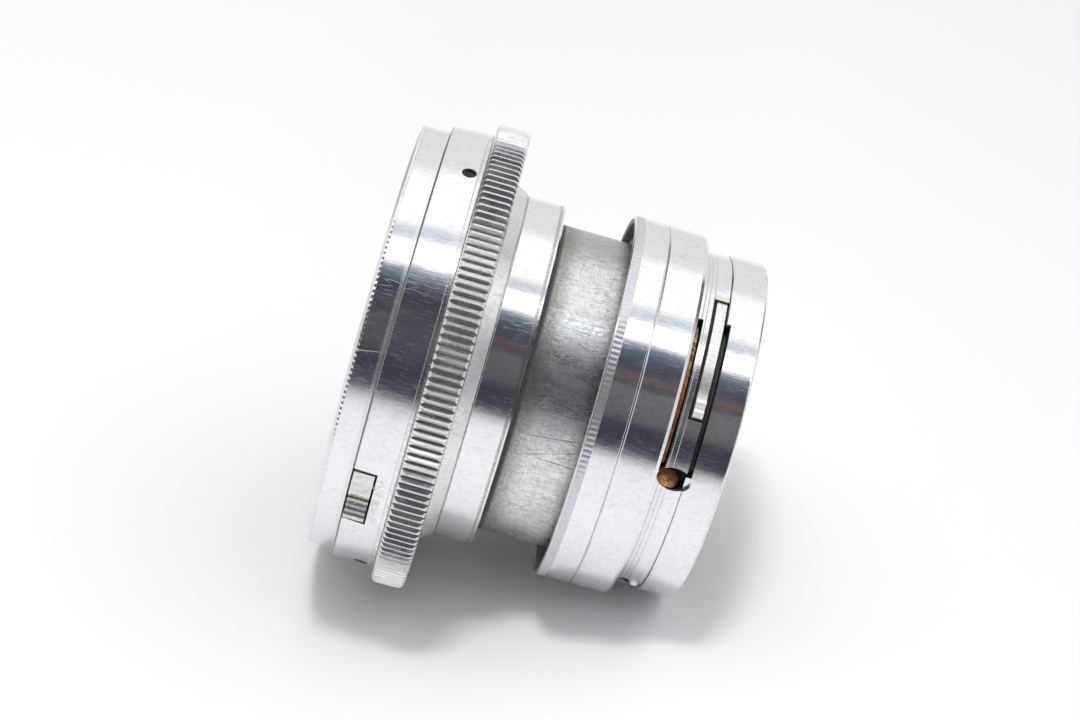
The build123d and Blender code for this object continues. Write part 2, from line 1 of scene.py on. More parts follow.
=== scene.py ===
"""Looks of a bright metal lens in its focusing mount, lying on a pale floor in soft studio light.

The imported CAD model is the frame: the optical axis is the X axis, the rear seat is at x = 0, and
everything is in metres. Heights and angles on the rings are worked out from that axis.
"""

from math import cos, pi, radians, sin

import bmesh
import bpy
from mathutils import Matrix, Vector, noise


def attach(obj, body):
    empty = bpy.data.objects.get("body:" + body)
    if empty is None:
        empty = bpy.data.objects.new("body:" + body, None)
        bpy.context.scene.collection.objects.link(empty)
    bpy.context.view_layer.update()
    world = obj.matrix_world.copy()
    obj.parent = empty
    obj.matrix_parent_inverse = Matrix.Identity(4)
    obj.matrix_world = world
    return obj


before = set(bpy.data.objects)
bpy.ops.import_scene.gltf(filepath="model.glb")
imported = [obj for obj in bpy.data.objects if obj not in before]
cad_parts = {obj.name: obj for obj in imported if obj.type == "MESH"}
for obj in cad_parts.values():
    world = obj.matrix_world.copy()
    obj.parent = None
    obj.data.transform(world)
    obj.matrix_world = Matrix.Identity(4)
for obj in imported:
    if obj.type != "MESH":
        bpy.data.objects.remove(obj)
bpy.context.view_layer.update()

MM = 0.001


# ---------------------------------------------------------------- node helpers

class Nodes:
    """A small hand for a node tree: it makes nodes, links them and does sums on sockets."""

    def __init__(self, tree):
        self.tree = tree

    def make(self, kind, **settings):
        node = self.tree.nodes.new(kind)
        for name, value in settings.items():
            setattr(node, name, value)
        return node

    def put(self, value, socket):
        """Link a socket, or set a constant."""
        if isinstance(value, bpy.types.NodeSocket):
            self.tree.links.new(value, socket)
        elif value is not None:
            socket.default_value = value

    def math(self, operation, a, b=None, c=None):
        node = self.make("ShaderNodeMath", operation=operation)
        for value, socket in zip((a, b, c), node.inputs):
            self.put(value, socket)
        return node.outputs[0]

    def smooth(self, value, low, high, out_low=0.0, out_high=1.0):
        """A soft step from out_low to out_high as the value goes from low to high."""
        node = self.make("ShaderNodeMapRange", interpolation_type="SMOOTHSTEP")
        for item, socket in zip((value, low, high, out_low, out_high), node.inputs):
            self.put(item, socket)
        return node.outputs[0]

    def band(self, value, low, high, soft):
        """1 between low and high, fading to 0 over the soft width outside."""
        rise = self.smooth(value, low - soft, low)
        fall = self.smooth(value, high, high + soft, 1.0, 0.0)
        return self.math("MULTIPLY", rise, fall)

    def mix(self, factor, a, b):
        node = self.make("ShaderNodeMix", data_type="RGBA")
        self.put(factor, node.inputs[0])
        self.put(a, node.inputs[6])
        self.put(b, node.inputs[7])
        return node.outputs[2]

    def xyz(self, vector):
        node = self.make("ShaderNodeSeparateXYZ")
        self.put(vector, node.inputs[0])
        return node.outputs

    def combine(self, x, y, z):
        node = self.make("ShaderNodeCombineXYZ")
        for value, socket in zip((x, y, z), node.inputs):
            self.put(value, socket)
        return node.outputs[0]

    def stretch(self, vector, *factors):
        node = self.make("ShaderNodeVectorMath", operation="MULTIPLY")
        self.put(vector, node.inputs[0])
        node.inputs[1].default_value = factors
        return node.outputs[0]

    def noise(self, vector, scale=1.0, detail=2.0, roughness=0.5):
        node = self.make("ShaderNodeTexNoise")
        self.put(vector, node.inputs["Vector"])
        node.inputs["Scale"].default_value = scale
        node.inputs["Detail"].default_value = detail
        node.inputs["Roughness"].default_value = roughness
        return node.outputs[0]

    def specks(self, vector, scale, share, size):
        """Small round dots on a share of the cells of a random pattern."""
        node = self.make("ShaderNodeTexVoronoi")
        self.put(vector, node.inputs["Vector"])
        node.inputs["Scale"].default_value = scale
        dots = self.smooth(node.outputs["Distance"], 0.6 * size, size, 1.0, 0.0)
        chosen = self.smooth(self.xyz(node.outputs["Color"])[0], 1 - share, 1 - share + 0.02)
        return self.math("MULTIPLY", dots, chosen)

    def hairlines(self, vector, scale, width, keep):
        """Thin wandering lines, the contours of a noise, present only in patches."""
        field = self.noise(vector, scale, 1.0)
        off = self.math("ABSOLUTE", self.math("SUBTRACT", field, 0.5))
        line = self.smooth(off, 0.3 * width, width, 1.0, 0.0)
        patch = self.noise(vector, 0.37 * scale, 0.0)
        return self.math("MULTIPLY", line, self.smooth(patch, 1 - keep, 1.08 - keep))

    def product(self, *values):
        result = values[0]
        for value in values[1:]:
            result = self.math("MULTIPLY", result, value)
        return result

    def total(self, *values):
        result = values[0]
        for value in values[1:]:
            result = self.math("ADD", result, value)
        return result


# ---------------------------------------------------------------- camera

LENS_MM = 73.63
SENSOR_MM = 36
CAMERA_DISTANCE = 271.8 * MM
CAMERA_STATION = 9.27 * MM
CAMERA_ELEVATION = radians(31)
CAMERA_YAW = radians(2.58)
CAMERA_PITCH = radians(-0.54)
CAMERA_ROLL = radians(-15.75)


def make_camera():
    """The camera stands across the axis, above the lens, and leans a little to one side."""
    data = bpy.data.cameras.new("camera")
    data.lens = LENS_MM
    data.sensor_width = SENSOR_MM
    data.clip_start = 0.01
    data.clip_end = 20
    camera = bpy.data.objects.new("camera", data)
    bpy.context.scene.collection.objects.link(camera)
    straight_ahead = Matrix.Rotation(radians(90) - CAMERA_ELEVATION, 3, "X")
    lean = (
        Matrix.Rotation(-CAMERA_YAW, 3, "Y")
        @ Matrix.Rotation(-CAMERA_PITCH, 3, "X")
        @ Matrix.Rotation(-CAMERA_ROLL, 3, "Z")
    )
    place = Vector((
        CAMERA_STATION,
        -CAMERA_DISTANCE * cos(CAMERA_ELEVATION),
        CAMERA_DISTANCE * sin(CAMERA_ELEVATION),
    ))
    camera.matrix_world = Matrix.Translation(place) @ (straight_ahead @ lean).to_4x4()
    bpy.context.scene.camera = camera


# ---------------------------------------------------------------- studio

FLOOR_SLOPE = 0.242
RING_CONTACT = Vector((12.7, 0, -28.98)) * MM
SLOPE_FROM = -4 * MM
SLOPE_TO = 47 * MM
BEND_LENGTH = 30 * MM
FLOOR_HALF = 1.6
FLOOR_STEPS = 96
FLOOR_COLOUR = (0.9, 0.905, 0.91, 1)
FLOOR_ROUGHNESS = 0.6
FLOOR_SPECULAR = 0.2


def floor_height(x):
    """The floor touches the focusing ring and the front rim, and is level further out."""
    inside = min(max(x, SLOPE_FROM), SLOPE_TO)
    height = RING_CONTACT.z + FLOOR_SLOPE * (inside - RING_CONTACT.x)
    past = min(abs(x - inside), BEND_LENGTH)
    rise = FLOOR_SLOPE * (past - past**2 / (2 * BEND_LENGTH))
    return height + (rise if x > inside else -rise)


def make_floor():
    """One pale sheet, gently sloped under the lens so that both of its rims rest on it."""
    start = SLOPE_FROM - BEND_LENGTH
    length = SLOPE_TO + BEND_LENGTH - start
    near = [start + length * i / FLOOR_STEPS for i in range(FLOOR_STEPS + 1)]
    stations = [-FLOOR_HALF, *near, FLOOR_HALF]
    points = [(x, y, floor_height(x)) for x in stations for y in (-FLOOR_HALF, FLOOR_HALF)]
    faces = [(2 * i, 2 * i + 2, 2 * i + 3, 2 * i + 1) for i in range(len(stations) - 1)]
    mesh = bpy.data.meshes.new("floor")
    mesh.from_pydata(points, [], faces)
    mesh.polygons.foreach_set("use_smooth", [True] * len(mesh.polygons))
    floor = bpy.data.objects.new("floor", mesh)
    bpy.context.scene.collection.objects.link(floor)
    material = bpy.data.materials.new("floor_paper")
    material.use_nodes = True
    shader = material.node_tree.nodes["Principled BSDF"]
    shader.inputs["Base Color"].default_value = FLOOR_COLOUR
    shader.inputs["Roughness"].default_value = FLOOR_ROUGHNESS
    shader.inputs["Specular IOR Level"].default_value = FLOOR_SPECULAR
    mesh.materials.append(material)


# Colours of the studio by the elevation of a direction in degrees, which starts level on the
# camera's side and goes over the top. The sides are what directions near the axis see.
ROOM_FRONT = (
    (-180, (0.78, 0.78, 0.78)), (-2, (0.78, 0.78, 0.79)), (1, (0.52, 0.52, 0.54)),
    (4, (0.13, 0.13, 0.15)), (7, (0.058, 0.057, 0.078)), (20, (0.052, 0.05, 0.07)),
    (23.5, (0.13, 0.13, 0.142)), (27, (0.17, 0.155, 0.16)), (31, (0.16, 0.16, 0.17)),
    (42, (0.19, 0.19, 0.20)), (44.5, (0.07, 0.06, 0.075)), (47.5, (0.165, 0.128, 0.130)),
    (50.5, (0.17, 0.12, 0.125)), (53, (0.075, 0.078, 0.10)), (59, (0.08, 0.092, 0.13)),
    (65, (0.13, 0.155, 0.21)), (69, (0.30, 0.34, 0.42)), (71.5, (1.1, 1.1, 1.12)),
    (73, (2.3, 2.3, 2.3)), (81, (2.3, 2.3, 2.3)), (84, (0.95, 0.99, 1.03)),
    (86, (0.66, 0.71, 0.78)), (91, (0.70, 0.74, 0.80)), (95, (1.22, 1.22, 1.23)),
    (128, (1.20, 1.20, 1.20)), (137, (0.88, 0.88, 0.89)), (180, (0.82, 0.82, 0.83)),
)
ROOM_SIDE = (
    (-180, (0.72, 0.72, 0.73)), (-3, (0.66, 0.66, 0.67)), (3, (0.16, 0.16, 0.18)),
    (20, (0.07, 0.07, 0.09)), (30, (0.15, 0.15, 0.16)), (55, (0.12, 0.13, 0.16)),
    (62, (0.8, 0.8, 0.82)), (70, (1.5, 1.5, 1.5)), (110, (1.5, 1.5, 1.5)),
    (118, (0.8, 0.8, 0.82)), (125, (0.14, 0.15, 0.18)), (150, (0.17, 0.17, 0.18)),
    (163, (0.08, 0.08, 0.10)), (176, (0.16, 0.16, 0.18)), (180, (0.60, 0.60, 0.61)),
)


def color_ramp(nodes, share, stops):
    """A ramp of colours over a full turn, with its stops in degrees from -180 to 180."""
    node = nodes.make("ShaderNodeValToRGB")
    nodes.put(share, node.inputs[0])
    elements = node.color_ramp.elements
    elements.remove(elements[0])
    elements[0].position = 0
    elements[0].color = (*stops[0][1], 1)
    for angle, colour in stops[1:]:
        elements.new((angle + 180) / 360).color = (*colour, 1)
    return node.outputs[0]


# What stands past both ends of the axis, and a darker thing low in front, left of the middle
ENDS_COLOUR = (0.80, 0.81, 0.83, 1)
SHADE_COLOUR = (0.045, 0.043, 0.062, 1)
SHADE_SHARE = 0.78
SHADE_FROM = radians(22)
SHADE_TO = radians(60)
SHADE_SOFT = radians(4)
# The dome that lights matt surfaces: how strong it is low down and overhead, and front to back
DOME_EDGE = 0.45
DOME_LOW = 0.06
DOME_HIGH = 1.68
DOME_FRONT = 1.4
DOME_BACK = 0.6
DOME_BLUE = 1.02


def make_world():
    """The studio that the rings mirror: a dark room in front, a bright strip, white behind.

    Matt surfaces are lit by an even soft dome instead, as bounced light would.
    """
    world = bpy.data.worlds.new("studio")
    bpy.context.scene.world = world
    world.use_nodes = True
    nodes = Nodes(world.node_tree)
    background = world.node_tree.nodes["Background"]
    direction = nodes.make("ShaderNodeTexCoord").outputs["Generated"]
    x, y, z = nodes.xyz(direction)
    elevation = nodes.math("ARCTAN2", z, nodes.math("MULTIPLY", y, -1.0))
    share = nodes.math("MULTIPLY_ADD", elevation, 1 / (2 * pi), 0.5)
    front = color_ramp(nodes, share, ROOM_FRONT)
    side = color_ramp(nodes, share, ROOM_SIDE)
    sideways = nodes.math("ABSOLUTE", x)
    left = nodes.smooth(x, -0.5, -0.28, 1.0, 0.0)
    right = nodes.smooth(x, 0.60, 0.66)
    colour = nodes.mix(nodes.math("MAXIMUM", left, right), front, side)
    colour = nodes.mix(nodes.smooth(sideways, 0.78, 0.9), colour, ENDS_COLOUR)
    shade = nodes.product(
        nodes.band(elevation, SHADE_FROM, SHADE_TO, SHADE_SOFT),
        nodes.smooth(x, -0.06, 0.12, 1.0, 0.0),
        nodes.smooth(sideways, 0.2, 0.3, 1.0, 0.0),
        SHADE_SHARE,
    )
    colour = nodes.mix(shade, colour, SHADE_COLOUR)
    dome = nodes.math("MULTIPLY", nodes.smooth(z, DOME_EDGE, 1.0, DOME_LOW, DOME_HIGH),
                      nodes.smooth(y, -1, 1, DOME_FRONT, DOME_BACK))
    dome_colour = nodes.combine(dome, dome, nodes.math("MULTIPLY", dome, DOME_BLUE))
    diffuse = nodes.make("ShaderNodeLightPath").outputs["Is Diffuse Ray"]
    nodes.put(nodes.mix(diffuse, colour, dome_colour), background.inputs[0])
    background.inputs[1].default_value = 1.0


SOFTBOX_SIZE = 0.10
SOFTBOX_WATTS = 1.6
SOFTBOX_PLACE = (-0.13, -0.19, 0.62)


def make_softbox():
    """The key lamp, high up, a little left and in front. The rings mirror the studio, not the lamp."""
    data = bpy.data.lights.new("softbox", "AREA")
    data.shape = "RECTANGLE"
    data.size = SOFTBOX_SIZE
    data.size_y = SOFTBOX_SIZE
    data.energy = SOFTBOX_WATTS
    lamp = bpy.data.objects.new("softbox", data)
    lamp.location = SOFTBOX_PLACE
    lamp.rotation_euler = (-lamp.location).to_track_quat("-Z", "Y").to_euler()
    lamp.visible_glossy = False
    bpy.context.scene.collection.objects.link(lamp)


# ---------------------------------------------------------------- materials

class Paint:
    """One material under way: where a point is on the rings, and the layers so far."""

    def __init__(self, name):
        self.material = bpy.data.materials.new(name)
        self.material.use_nodes = True
        self.nodes = Nodes(self.material.node_tree)
        self.shader = self.material.node_tree.nodes["Principled BSDF"]
        place = self.nodes.make("ShaderNodeTexCoord").outputs["Object"]
        self.mm = self.nodes.stretch(place, 1 / MM, 1 / MM, 1 / MM)
        self.x, self.y, self.z = self.nodes.xyz(self.mm)
        flat = self.nodes.math("ADD", self.nodes.math("MULTIPLY", self.y, self.y),
                               self.nodes.math("MULTIPLY", self.z, self.z))
        self.radius = self.nodes.math("SQRT", flat)
        turn = self.nodes.math("ARCTAN2", self.z, self.nodes.math("MULTIPLY", self.y, -1.0))
        self.angle = self.nodes.math("MULTIPLY", turn, 180 / pi)
        self.metallic = 1.0
        self.height = 0.0

    def metal(self, colour, roughness, smudge=0.05, cloud=0.10):
        """A bare metal with soft smudges in its gloss and its tone."""
        nodes = self.nodes
        blot = nodes.noise(nodes.stretch(self.mm, 0.25, 0.5, 0.5), 1.0, 4.0, 0.6)
        fine = nodes.noise(nodes.stretch(self.mm, 1.2, 3.0, 3.0), 1.0, 2.0)
        smudges = nodes.smooth(blot, 0.35, 0.7, roughness - smudge / 2, roughness + smudge)
        grain = nodes.smooth(fine, 0.3, 0.7, -0.3 * smudge, 0.3 * smudge)
        self.roughness = nodes.math("ADD", smudges, grain)
        dull = tuple(channel * (1 - cloud) for channel in colour)
        self.colour = nodes.mix(nodes.smooth(fine, 0.45, 0.75), (*colour, 1), (*dull, 1))

    def turned(self, along=0.8, dash=0.6, lines=0.25, haze=0.18):
        """Fine turning lines, and short ripples that draw reflections out along the axis."""
        nodes = self.nodes
        across = nodes.math("ADD", self.x, self.radius)
        ring = nodes.stretch(nodes.combine(across, self.y, self.z), 4.5, 0.12, 0.12)
        grooves = nodes.noise(ring, 1.0, 3.0, 0.6)
        ripples = nodes.noise(nodes.stretch(self.mm, along, 2.6, 2.6), 1.0, 3.0, 0.6)
        self.height = nodes.total(self.height, nodes.math("MULTIPLY", grooves, lines),
                                  nodes.math("MULTIPLY", ripples, dash))
        strokes = nodes.noise(nodes.stretch(self.mm, 1.1 * along, 7.0, 7.0), 1.0, 3.0, 0.75)
        dulling = nodes.smooth(strokes, 0.45, 0.75, 0.0, haze)
        self.roughness = nodes.math("ADD", self.roughness, dulling)
        self.height = nodes.math("MULTIPLY_ADD", strokes, 0.5 * dash, self.height)

    def layer(self, mask, colour, roughness=None, metallic=None):
        """A stain, worn patch or line on top of what is there."""
        nodes = self.nodes
        self.colour = nodes.mix(mask, self.colour, (*colour, 1))
        if roughness is not None:
            self.roughness = nodes.smooth(mask, 0, 1, self.roughness, roughness)
        if metallic is not None:
            self.metallic = nodes.smooth(mask, 0, 1, self.metallic, metallic)

    def bump(self, mask, amount):
        """Raise the surface where the mask is, or lower it."""
        self.height = self.nodes.math("ADD", self.height, self.nodes.math("MULTIPLY", mask, amount))

    def stroke(self, x_from, angle_from, x_to, angle_to, width):
        """A straight scratch between two places on a ring. The width is in degrees."""
        nodes = self.nodes
        slope = (angle_to - angle_from) / (x_to - x_from)
        line = nodes.math("MULTIPLY_ADD", self.x, slope, angle_from - slope * x_from)
        off = nodes.math("ABSOLUTE", nodes.math("SUBTRACT", self.angle, line))
        ends = nodes.band(self.x, min(x_from, x_to), max(x_from, x_to), 0.15)
        return nodes.math("MULTIPLY", nodes.smooth(off, 0.3 * width, width, 1.0, 0.0), ends)

    def done(self, depth_mm=0.004, anisotropic=0.0):
        """Link the layers up. The depth is the height of a bump of 1."""
        nodes, shader = self.nodes, self.shader
        nodes.put(self.colour, shader.inputs["Base Color"])
        nodes.put(self.roughness, shader.inputs["Roughness"])
        nodes.put(self.metallic, shader.inputs["Metallic"])
        bump = nodes.make("ShaderNodeBump")
        bump.inputs["Distance"].default_value = depth_mm * MM
        nodes.put(self.height, bump.inputs["Height"])
        nodes.put(bump.outputs[0], shader.inputs["Normal"])
        if anisotropic:
            shader.inputs["Anisotropic"].default_value = anisotropic
            shader.inputs["Anisotropic Rotation"].default_value = 0.25
            tangent = nodes.make("ShaderNodeTangent", direction_type="RADIAL", axis="X")
            nodes.put(tangent.outputs[0], shader.inputs["Tangent"])
        return self.material


SILVER = (0.86, 0.865, 0.875)
GRIME = (0.10, 0.085, 0.06)
BLACK = (0.012, 0.012, 0.013)
MATT_EDGE = (0.42, 0.42, 0.43)
DRY_DIRT = (0.30, 0.28, 0.24)
PALE_MARK = (0.98, 0.98, 0.98)


def scuffs(paint, amount=1.0):
    """The small marks that all the bright rings carry: hairlines, pale nicks, dark specks."""
    nodes = paint.nodes
    long_lines = nodes.hairlines(nodes.stretch(paint.mm, 0.22, 0.9, 0.9), 1.0, 0.010, 0.42)
    cross_lines = nodes.hairlines(nodes.stretch(paint.mm, 0.8, 0.35, 0.5), 0.7, 0.006, 0.36)
    nicks = nodes.specks(nodes.stretch(paint.mm, 0.6, 1, 1), 1.1, 0.12, 0.10)
    dark = nodes.specks(paint.mm, 0.9, 0.10, 0.075)
    paint.layer(nodes.math("MULTIPLY", long_lines, 0.35 * amount), (0.95, 0.95, 0.95), 0.4)
    paint.layer(nodes.math("MULTIPLY", cross_lines, 0.30 * amount), (0.45, 0.45, 0.46), 0.4)
    paint.layer(nodes.math("MULTIPLY", nicks, 0.55 * amount), (0.97, 0.97, 0.97), 0.5)
    paint.layer(nodes.math("MULTIPLY", dark, 0.45 * amount), (0.25, 0.24, 0.22), 0.5)
    paint.bump(nodes.total(long_lines, nicks), -0.5 * amount)


def rear_ring_paint():
    """Polished, with a curled scratch and a straight one, matt at both edges."""
    paint = Paint("rear_ring_alloy")
    nodes = paint.nodes
    paint.metal(SILVER, 0.13, 0.05)
    paint.turned(0.35, 0.7)
    scuffs(paint)
    curl = nodes.math("SINE", nodes.math("MULTIPLY", nodes.math("ADD", paint.x, -0.3), 1.9))
    path = nodes.math("MULTIPLY_ADD", curl, 1.6, 25.2)
    off = nodes.math("ABSOLUTE", nodes.math("SUBTRACT", paint.angle, path))
    scratch = nodes.product(nodes.smooth(off, 0.08, 0.22, 1.0, 0.0), nodes.band(paint.x, 0.9, 2.7, 0.3))
    straight = nodes.math("MULTIPLY_ADD", paint.x, 0.4, 26.2)
    line_off = nodes.math("ABSOLUTE", nodes.math("SUBTRACT", straight, paint.angle))
    line = nodes.product(nodes.smooth(line_off, 0.06, 0.18, 1.0, 0.0), nodes.band(paint.x, 0.5, 3.0, 0.4))
    mark = nodes.math("MAXIMUM", nodes.math("MULTIPLY", scratch, 0.35), line)
    paint.layer(mark, PALE_MARK, 0.6)
    seam = nodes.band(paint.x, 3.1, 3.42, 0.2)
    paint.layer(nodes.math("MULTIPLY", seam, 0.5), (0.8, 0.8, 0.8), 0.30, 0.75)
    front_face = nodes.smooth(paint.x, 3.46, 3.5)
    paint.layer(front_face, MATT_EDGE, 0.45)
    notches = nodes.smooth(paint.x, 0.34, 0.5, 1.0, 0.0)
    paint.layer(notches, (0.84, 0.84, 0.85), 0.38, 0.7)
    return paint.done(anisotropic=0.6)


def body_ring_paint():
    """Polished, with dirt round the catch, in its window and along both seams."""
    paint = Paint("body_ring_alloy")
    nodes = paint.nodes
    paint.metal(SILVER, 0.14, 0.05)
    paint.turned(0.35, 0.8)
    scuffs(paint)
    mottle = nodes.noise(paint.mm, 2.4, 4.0, 0.7)
    halo = nodes.product(nodes.band(paint.x, 6.2, 7.1, 0.7), nodes.band(paint.angle, -18, -5, 2.5),
                         nodes.smooth(mottle, 0.42, 0.6))
    paint.layer(nodes.math("MULTIPLY", halo, 0.5), (0.40, 0.38, 0.33), 0.45)
    pocket = nodes.smooth(paint.radius, 26.7, 26.95, 1.0, 0.0)
    paint.layer(pocket, DRY_DIRT, 0.6, 0.3)
    rear_seam = nodes.smooth(paint.x, 3.7, 3.95, 1.0, 0.0)
    front_seam = nodes.smooth(paint.x, 8.15, 8.4)
    dust = nodes.product(nodes.math("MAXIMUM", rear_seam, front_seam), nodes.smooth(mottle, 0.40, 0.62), 0.35)
    paint.layer(dust, (0.55, 0.54, 0.50), 0.5)
    rear_face = nodes.smooth(paint.x, 3.70, 3.74, 1.0, 0.0)
    paint.layer(rear_face, MATT_EDGE, 0.45)
    return paint.done(anisotropic=0.6)


KNURL_TEETH = 180


def knurl_paint():
    """The knurled ring: bright scuffed flanks, worn lands, dirt and painted shade down in the valleys."""
    paint = Paint("knurled_alloy")
    nodes = paint.nodes
    paint.metal((0.82, 0.82, 0.815), 0.26, 0.12, 0.14)
    tooth = nodes.math("MULTIPLY", paint.angle, KNURL_TEETH / 360)
    off = nodes.math("ABSOLUTE", nodes.math("SUBTRACT", tooth, nodes.math("ROUND", tooth)))
    patchy = nodes.noise(nodes.stretch(paint.mm, 0.8, 1.5, 1.5), 1.0, 4.0, 0.7)
    knurled = nodes.band(paint.x, 9.1, 12.5, 0.35)
    # Dirt and painted shade: near black down in the valleys between the teeth.
    valley = nodes.product(nodes.smooth(off, 0.39, 0.49), nodes.smooth(patchy, 0.25, 0.6, 0.5, 1.0), knurled)
    paint.layer(nodes.math("MULTIPLY", valley, 0.85), (0.06, 0.056, 0.05), 0.6, 0.5)
    # Painted shade: the valleys filled darker still at angles 0 to 11 degrees and past 90 degrees.
    shade_bands = nodes.math("MAXIMUM", nodes.band(paint.angle, 0, 11, 5), nodes.smooth(paint.angle, 90, 96))
    dark_fill = nodes.product(shade_bands, nodes.smooth(off, 0.28, 0.44), knurled)
    paint.layer(nodes.math("MULTIPLY", dark_fill, 0.75), (0.16, 0.155, 0.145), 0.6, 0.5)
    land = nodes.smooth(off, 0.09, 0.13, 1.0, 0.0)
    worn = nodes.math("MULTIPLY", land, nodes.smooth(patchy, 0.35, 0.65, 0.5, 1.0))
    paint.layer(worn, (0.66, 0.66, 0.65), 0.5, 0.6)
    dents = nodes.specks(nodes.stretch(paint.mm, 1.4, 1, 1), 1.2, 0.25, 0.16)
    paint.layer(nodes.math("MULTIPLY", dents, 0.4), (0.42, 0.41, 0.38), 0.5)
    grain = nodes.noise(paint.mm, 6.0, 3.0, 0.6)
    paint.bump(grain, 0.8)
    paint.bump(dents, -1.5)
    return paint.done(0.006)


def satin_paint(name, roughness, colour=(0.80, 0.80, 0.80)):
    """A turned metal without polish: satin alloy, bright steel or brass."""
    paint = Paint(name)
    paint.metal(colour, roughness, 0.10, 0.16)
    paint.turned(1.2, 0.6, 0.8)
    scuffs(paint, 0.8)
    return paint.done(0.005, 0.4)


def catch_paint():
    """The ribbed catch: dirt between its ribs, a gold edge above them, dirty sides."""
    paint = Paint("catch_alloy")
    nodes = paint.nodes
    paint.metal((0.82, 0.82, 0.80), 0.24, 0.10, 0.15)
    paint.turned(1.5, 0.6, 0.3)
    mottle = nodes.noise(paint.mm, 3.2, 4.0, 0.7)
    ribs = nodes.smooth(paint.angle, -9.6, -8.9, 1.0, 0.0)
    depth = nodes.math("ADD", paint.radius, nodes.math("MULTIPLY", paint.angle, -0.065))
    deep = nodes.smooth(depth, 28.36, 28.60, 1.0, 0.0)
    paint.metallic = nodes.smooth(ribs, 0, 1, 1.0, 0.6)
    dark_fill = nodes.product(ribs, deep, nodes.smooth(mottle, 0.3, 0.65, 0.55, 1.0))
    paint.layer(dark_fill, (0.09, 0.085, 0.07), 0.5)
    gold = nodes.product(nodes.band(paint.angle, -9.5, -8.9, 0.35), nodes.smooth(mottle, 0.3, 0.6))
    paint.layer(nodes.math("MULTIPLY", gold, 0.75), (0.33, 0.24, 0.10), 0.45)
    side = nodes.smooth(paint.radius, 26.9, 27.1, 1.0, 0.0)
    paint.layer(side, DRY_DIRT, 0.6, 0.2)
    return paint.done(0.005)


def guide_collar_paint():
    """Polished, with dirt at its front edge and in the bore round the tube."""
    paint = Paint("guide_collar_alloy")
    nodes = paint.nodes
    paint.metal(SILVER, 0.11, 0.05)
    paint.turned(0.5, 0.7)
    scuffs(paint)
    mottle = nodes.noise(paint.mm, 2.8, 4.0, 0.7)
    edge = nodes.product(nodes.band(paint.x, 18.72, 18.98, 0.12), nodes.smooth(mottle, 0.3, 0.55), 0.5)
    paint.layer(edge, (0.28, 0.26, 0.22), 0.5)
    bore = nodes.smooth(paint.radius, 20.9, 21.2, 1.0, 0.0)
    paint.layer(bore, GRIME, 0.6, 0.2)
    return paint.done(anisotropic=0.6)


# Scratches on the tube: station and angle of both ends, and the width in degrees
TUBE_SCRATCHES = (
    (20.8, 4.0, 27.8, 10.2, 0.22), (21.6, 12.2, 27.8, 14.2, 0.20), (23.4, 4.8, 27.8, 4.2, 0.20),
    (22.3, 9.0, 23.1, 0.5, 0.20), (24.5, 47, 27.6, 44, 0.20),
)


def tube_paint():
    """The worn sliding tube: brushed both ways, speckled, darker where it enters the collar, painted shade
    along its top.
    """
    paint = Paint("worn_tube_alloy")
    nodes = paint.nodes
    paint.metal((0.78, 0.785, 0.79), 0.24, 0.12, 0.12)
    paint.turned(0.5, 0.9, 0.3)
    scuffs(paint, 1.0)
    brushed = nodes.noise(nodes.stretch(paint.mm, 0.55, 2.6, 2.6), 1.0, 4.0, 0.8)
    turned = nodes.noise(nodes.stretch(paint.mm, 3.4, 0.35, 0.35), 1.0, 4.0, 0.8)
    smooth_part = nodes.band(paint.angle, 20, 44, 6)
    wear = nodes.smooth(smooth_part, 0, 1, 1.0, 0.45)
    lengthwise = nodes.math("MULTIPLY", nodes.smooth(brushed, 0.45, 0.64, 0.0, 0.42), wear)
    paint.layer(lengthwise, (0.33, 0.33, 0.33), 0.40)
    crosswise = nodes.math("MULTIPLY", nodes.smooth(turned, 0.48, 0.66, 0.0, 0.36), wear)
    paint.layer(crosswise, (0.36, 0.36, 0.36), 0.40)
    pits = nodes.noise(nodes.stretch(paint.mm, 1.9, 2.8, 2.8), 1.0, 5.0, 0.85)
    blotch = nodes.noise(nodes.stretch(paint.mm, 0.35, 0.5, 0.5), 1.0, 3.0, 0.6)
    pitted = nodes.product(nodes.smooth(pits, 0.52, 0.62), nodes.smooth(blotch, 0.40, 0.62, 0.4, 1.0), wear)
    paint.layer(nodes.math("MULTIPLY", pitted, 0.6), (0.26, 0.255, 0.235), 0.5)
    paint.bump(nodes.smooth(pits, 0.35, 0.75), 2.2)
    paint.bump(brushed, 2.4)
    paint.bump(turned, 1.2)
    # Painted shade: a grey band along the top of the tube, its edge ragged with the brushing.
    ragged_angle = nodes.math("MULTIPLY_ADD", brushed, 24, paint.angle)
    top = nodes.smooth(ragged_angle, 88, 104)
    paint.layer(nodes.math("MULTIPLY", top, 0.55), (0.34, 0.34, 0.34), 0.40)
    # Darker towards the collar, with a dark band where the tube enters it.
    collar_noise = nodes.noise(paint.mm, 3.0, 5.0, 0.85)
    haze = nodes.product(nodes.smooth(paint.x, 20.2, 22.8, 0.9, 0.0),
                         nodes.smooth(collar_noise, 0.38, 0.56, 0.45, 1.0))
    paint.layer(haze, (0.28, 0.275, 0.25), 0.45)
    ragged_station = nodes.math("MULTIPLY_ADD", collar_noise, 0.7, paint.x)
    gap = nodes.smooth(ragged_station, 20.1, 20.6, 1.0, 0.0)
    paint.layer(nodes.math("MULTIPLY", gap, 0.8), (0.07, 0.066, 0.055), 0.7, 0.4)
    scratches = paint.stroke(*TUBE_SCRATCHES[0])
    for scratch in TUBE_SCRATCHES[1:]:
        scratches = nodes.math("MAXIMUM", scratches, paint.stroke(*scratch))
    patchy = nodes.smooth(nodes.noise(paint.mm, 0.9, 2.0), 0.3, 0.6, 0.35, 0.9)
    paint.layer(nodes.math("MULTIPLY", scratches, patchy), (0.12, 0.115, 0.10), 0.5)
    return paint.done(0.005, 0.3)


